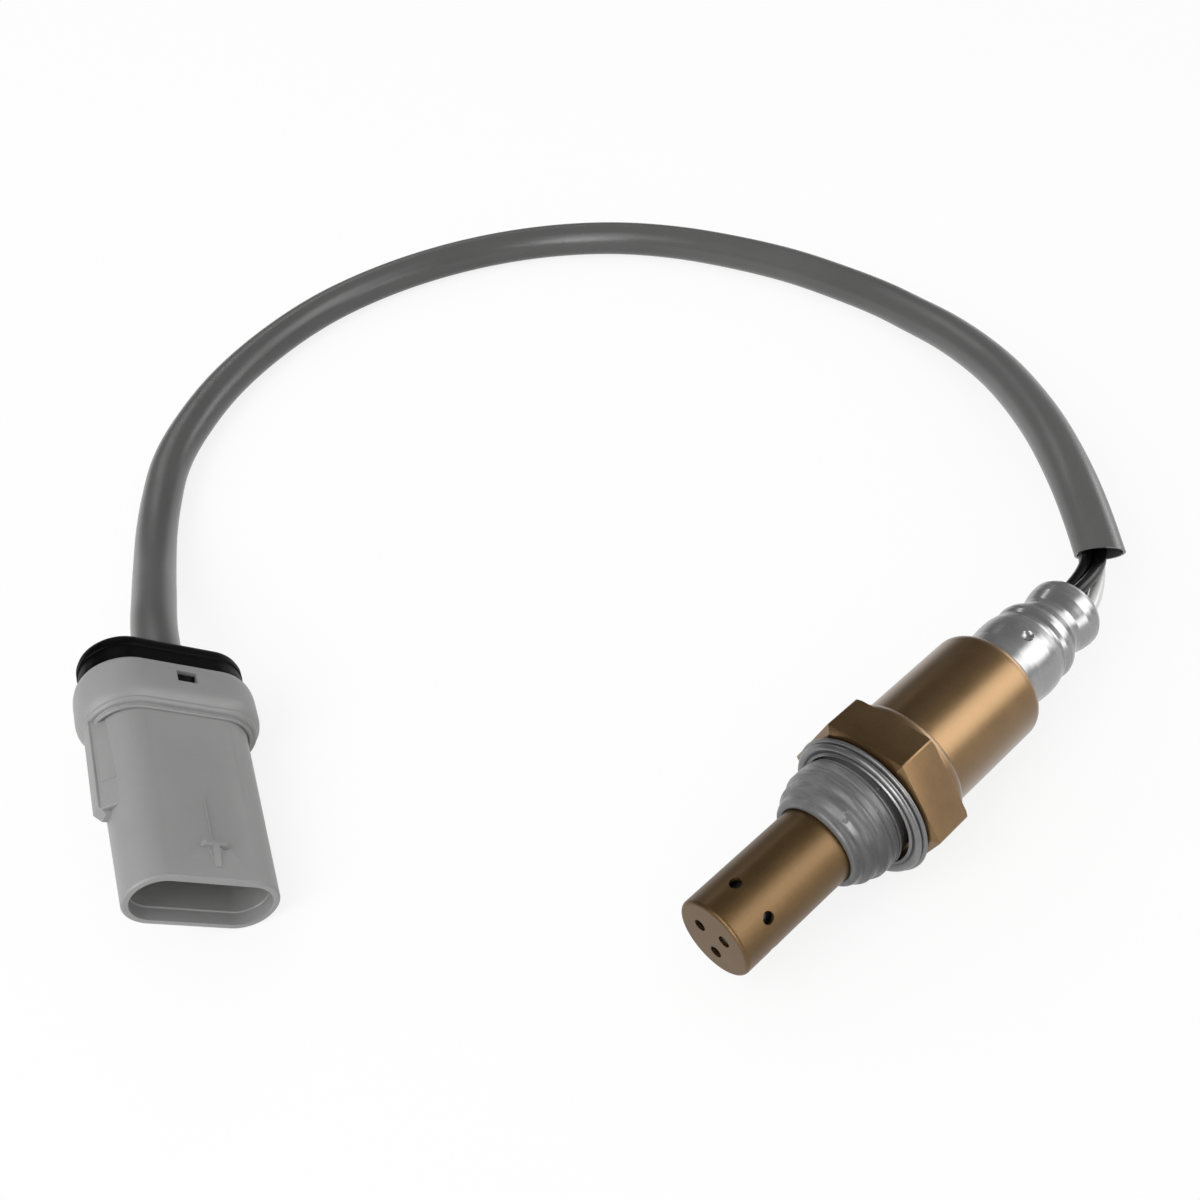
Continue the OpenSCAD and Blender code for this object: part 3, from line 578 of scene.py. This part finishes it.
def makePasteNose(look):
    bm = bmesh.new()
    rough = [Vector((s, r, 0)) for s, r in look["outline"]]
    smooth = [(p.x, p.y) for p in smoothLine(rough, look["axialStep"])]
    spinOutline(bm, smooth, look["around"], closed=False)
    for vert in bm.verts:
        out = offAxis(vert).normalized()
        angle = Vector((-out.y, out.z)).angle_signed(Vector((1, 0))) % (2 * pi)  # 0 towards -y, 90 degrees up
        vert.co += out * pasteRise(look, (vert.co.x + halfLength) * 1000, out, angle) / 1000
    makePiece("pasteNose", bm, "toned_steel", sharp=80, material=makePasteFinish(pasteLook))


makePasteNose(noseLook)
print("body made")


# Plug: the part's own shape with its moulded edges rounded.
mouldLook = {
    "merge": 2e-6, "flatAngle": 0.5, "edgeAngle": 28,
    "plugHousing": ("plug_housing", "grey_plastic", 0.0002),  # node, slot, roundness of its edges
    "plugCap": ("plug_cap", "black_plastic", 0.00025),
}


def roundedCopy(look, name):
    nodeName, slotName, width = look[name]
    bm = bmesh.new()
    bm.from_mesh(frame["nodes"][nodeName].data)
    bmesh.ops.remove_doubles(bm, verts=bm.verts, dist=look["merge"])
    bmesh.ops.dissolve_limit(bm, angle_limit=radians(look["flatAngle"]), verts=bm.verts, edges=bm.edges,
                             use_dissolve_boundaries=False, delimit=set())
    softenEdges(bm, width, look["edgeAngle"])
    return makePiece(name, bm, slotName, [nodeName], sharp=40)


plugHousing = roundedCopy(mouldLook, "plugHousing")
plugCap = roundedCopy(mouldLook, "plugCap")

collarLook = {  # the moulded roll round the collar's front, and the fillet at the shroud's root
    "half": 0.0067, "steps": 20, "sides": 12,
    "roll": {"name": "collarRoll", "radius": 0.0066, "z": -0.0339, "size": 0.0007},
    "root": {"name": "shroudRoot", "radius": 0.00605, "z": -0.0329, "size": 0.00035},
}


def makeCollarRing(look, ring):  # a round bead laid along a flat-sided ring in the plug's own frame
    path = []
    for side in (1, -1):
        for i in range(look["steps"] + 1):
            turn = pi * i / look["steps"] - pi / 2
            path.append(inPlug(side * (look["half"] + ring["radius"] * cos(turn)),
                               side * ring["radius"] * sin(turn), ring["z"]))
    axis = (plugFrame.to_3x3() @ Vector((0, 0, 1))).normalized()
    bm = bmesh.new()
    for i, point in enumerate(path):
        forward = (path[(i + 1) % len(path)] - path[i - 1]).normalized()
        matrix = Matrix((axis, forward.cross(axis), forward)).transposed().to_4x4()
        matrix.translation = point
        bmesh.ops.create_circle(bm, segments=look["sides"], radius=ring["size"], matrix=matrix)
    edges = list(bm.edges)
    rings = [edges[i:i + look["sides"]] for i in range(0, len(edges), look["sides"])]
    for before, after in zip(rings, rings[1:] + rings[:1]):
        bmesh.ops.bridge_loops(bm, edges=before + after)
    bmesh.ops.recalc_face_normals(bm, faces=bm.faces)
    return makePiece(ring["name"], bm, "grey_plastic", sharp=60)


collarRoll = makeCollarRing(collarLook, collarLook["roll"])
shroudRoot = makeCollarRing(collarLook, collarLook["root"])

railLook = {  # the rail's flank slopes up to the shroud; a thin plate stands on it
    "from": -0.0338, "to": -0.0154, "foot": (-0.0137, 0.0005), "head": (-0.0107, 0.0031),
    "round": 0.0003, "edgeAngle": 30,  # the plate's corners: up the slope, below the mouth
    "plate": [(0.0009, -0.0205), (0.0009, -0.028), (0.0026, -0.0325), (0.0036, -0.0325), (0.0036, -0.0205)],
    "plateHeight": 0.00012,
}


def extrudeFace(bm, points, push):
    face = bm.faces.new([bm.verts.new(p) for p in points])
    moved = bmesh.ops.extrude_face_region(bm, geom=[face])["geom"]
    bmesh.ops.translate(bm, vec=push, verts=[g for g in moved if isinstance(g, bmesh.types.BMVert)])
    bmesh.ops.recalc_face_normals(bm, faces=bm.faces)


def makeRailFlank(look):
    (footX, footY), (headX, headY) = look["foot"], look["head"]
    bm = bmesh.new()
    corners = [(footX, footY), (headX, headY), (headX, footY)]
    extrudeFace(bm, [inPlug(x, y, look["from"]) for x, y in corners],
                inPlug(0, 0, look["to"]) - inPlug(0, 0, look["from"]))
    softenEdges(bm, look["round"], look["edgeAngle"])
    flank = makePiece("railFlank", bm, "grey_plastic")
    slope = Vector((headX - footX, headY - footY, 0)).normalized()
    rise = Vector((-slope.y, slope.x, 0)) * look["plateHeight"]
    plate = bmesh.new()
    spots = [Vector((footX, footY, z)) + slope * u - rise for u, z in look["plate"]]
    extrudeFace(plate, [inPlug(*p) for p in spots], plugFrame.to_3x3() @ (rise * 2))
    softenEdges(plate, look["plateHeight"] / 2, look["edgeAngle"], segments=2)
    return flank, makePiece("railPlate", plate, "grey_plastic")


railFlank, railPlate = makeRailFlank(railLook)
insidePlug = ("plug_seal", "plug_wire", "term")
plugPieces = [plugHousing, plugCap, collarRoll, shroudRoot, railFlank, railPlate]
plugPieces += [frame["nodes"][name] for name in frame["nodes"] if name.startswith(insidePlug)]
print("plug made")


# Floor, light and the white surround.
studioLook = {
    "floor": 2.5, "floorColour": (0.88, 0.88, 0.88), "floorRough": 0.9, "floorGlow": 0.85,
    "softSide": (-0.6, 0, 0.8), "softSky": [(0.3, 0.42), (0.6, 0.6), (0.95, 1)],
    "brightSide": (0.82, -0.57, 0.1), "glossySky": [(0.5, 0.11), (0.65, 0.18), (0.8, 0.4), (0.93, 0.55)],
    "windows": [  # way towards it, edge of its glow, power
        ((0.55, -0.61, 0.58), (0.955, 0.985), 4.4), ((0.97, -0.2, 0.1), (0.965, 0.99), 4),
        ((-0.83, -0.44, 0.36), (0.975, 0.99), 9), ((0.2, -0.95, 0.24), (0.985, 0.995), 4),
    ],
    "lamps": [  # name, place, size, watts
        ("keyLamp", (-0.7, 0.0, 0.75), (0.6, 0.6), 4),
        ("backStrip", (0.35, 0.95, 0.6), (0.5, 0.03), 0.6),
    ],
    "aim": (0.02, 0.08, 0),
}


def mixColours(tree, share, first, second):  # the colour sockets of a mix node are numbers 6, 7 and 2
    mix = addNode(tree, "ShaderNodeMix", data_type="RGBA")
    tree.links.new(share, mix.inputs[0])
    for source, socket in ((first, mix.inputs[6]), (second, mix.inputs[7])):
        if isinstance(source, float):
            socket.default_value = (source, source, source, 1)
        else:
            tree.links.new(source, socket)
    return mix.outputs[2]


def addMath(tree, operation, first, second):
    node = addNode(tree, "ShaderNodeMath", [(first, 0)], operation=operation)
    if isinstance(second, float):
        node.inputs[1].default_value = second
    else:
        tree.links.new(second, node.inputs[1])
    return node.outputs["Value"]


def makeFloor(look):  # what looks at it or mirrors it sees it nearly white, and it keeps the shadow
    bm = bmesh.new()
    bmesh.ops.create_grid(bm, x_segments=1, y_segments=1, size=look["floor"])
    mesh = bpy.data.meshes.new("floor")
    bm.to_mesh(mesh)
    bm.free()
    floor = bpy.data.objects.new("floor", mesh)
    scene.collection.objects.link(floor)
    material, tree, shader = newMaterial("paleFloor", {"specular": 0})
    shader.inputs["Base Color"].default_value = (*look["floorColour"], 1)
    shader.inputs["Roughness"].default_value = look["floorRough"]
    glow = addNode(tree, "ShaderNodeEmission", Strength=1)
    path = addNode(tree, "ShaderNodeLightPath").outputs
    seen = addMath(tree, "MAXIMUM", path["Is Camera Ray"], path["Is Glossy Ray"])
    seen = addMath(tree, "MAXIMUM", seen, path["Is Transmission Ray"])
    share = addMath(tree, "MULTIPLY", seen, look["floorGlow"])
    mixed = addNode(tree, "ShaderNodeMixShader", [(share, "Fac")])
    tree.links.new(shader.outputs["BSDF"], mixed.inputs[1])
    tree.links.new(glow.outputs["Emission"], mixed.inputs[2])
    tree.links.new(mixed.outputs["Shader"], tree.nodes["Material Output"].inputs["Surface"])
    floor.data.materials.append(material)


def makeLamps(look):
    for name, place, size, watts in look["lamps"]:
        lamp = bpy.data.lights.new(name, "AREA")
        lamp.shape, lamp.size, lamp.size_y, lamp.energy = "RECTANGLE", size[0], size[1], watts
        holder = bpy.data.objects.new(name, lamp)
        aim = Vector(look["aim"]) - Vector(place)
        holder.matrix_world = Matrix.Translation(place) @ aim.to_track_quat("-Z", "Y").to_matrix().to_4x4()
        scene.collection.objects.link(holder)


def towards(tree, where, side):  # 1 straight towards the side, 0.5 across it, 0 away from it
    turned = addNode(tree, "ShaderNodeVectorMath", [(where, 0)], operation="DOT_PRODUCT")
    turned.inputs[1].default_value = Vector(side).normalized()
    half = addNode(tree, "ShaderNodeMath", [(turned.outputs["Value"], 0)], operation="MULTIPLY_ADD")
    half.inputs[1].default_value = half.inputs[2].default_value = 0.5
    return half.outputs["Value"]


def addGreys(tree, source, stops):
    return addRamp(tree, source, [(at, (grey,) * 3) for at, grey in stops])


def makeSurround(look):  # metal mirrors the windows, everything else gets the soft sky, the camera sees white
    world = bpy.data.worlds.new("surround")
    world.cycles.sampling_method = "NONE"
    scene.world = world
    world.use_nodes = True
    tree = world.node_tree
    path = addNode(tree, "ShaderNodeLightPath").outputs
    where = addNode(tree, "ShaderNodeTexCoord").outputs["Generated"]
    sky = addGreys(tree, towards(tree, where, look["brightSide"]), look["glossySky"])
    for way, (dark, bright), power in look["windows"]:
        glow = addGreys(tree, towards(tree, where, way), [(dark, 0), (bright, 1)])
        glow = addNode(tree, "ShaderNodeVectorMath", [(glow, 0)], operation="SCALE", Scale=power)
        sky = addNode(tree, "ShaderNodeVectorMath", [(glow.outputs["Vector"], 0), (sky, 1)],
                      operation="ADD").outputs["Vector"]
    soft = addGreys(tree, towards(tree, where, look["softSide"]), look["softSky"])
    lit = mixColours(tree, path["Is Diffuse Ray"], sky, soft)
    seen = mixColours(tree, path["Is Camera Ray"], lit, 1.0)
    tree.links.new(seen, tree.nodes["Background"].inputs["Color"])


makeFloor(studioLook)
makeLamps(studioLook)
makeSurround(studioLook)
print("studio made")
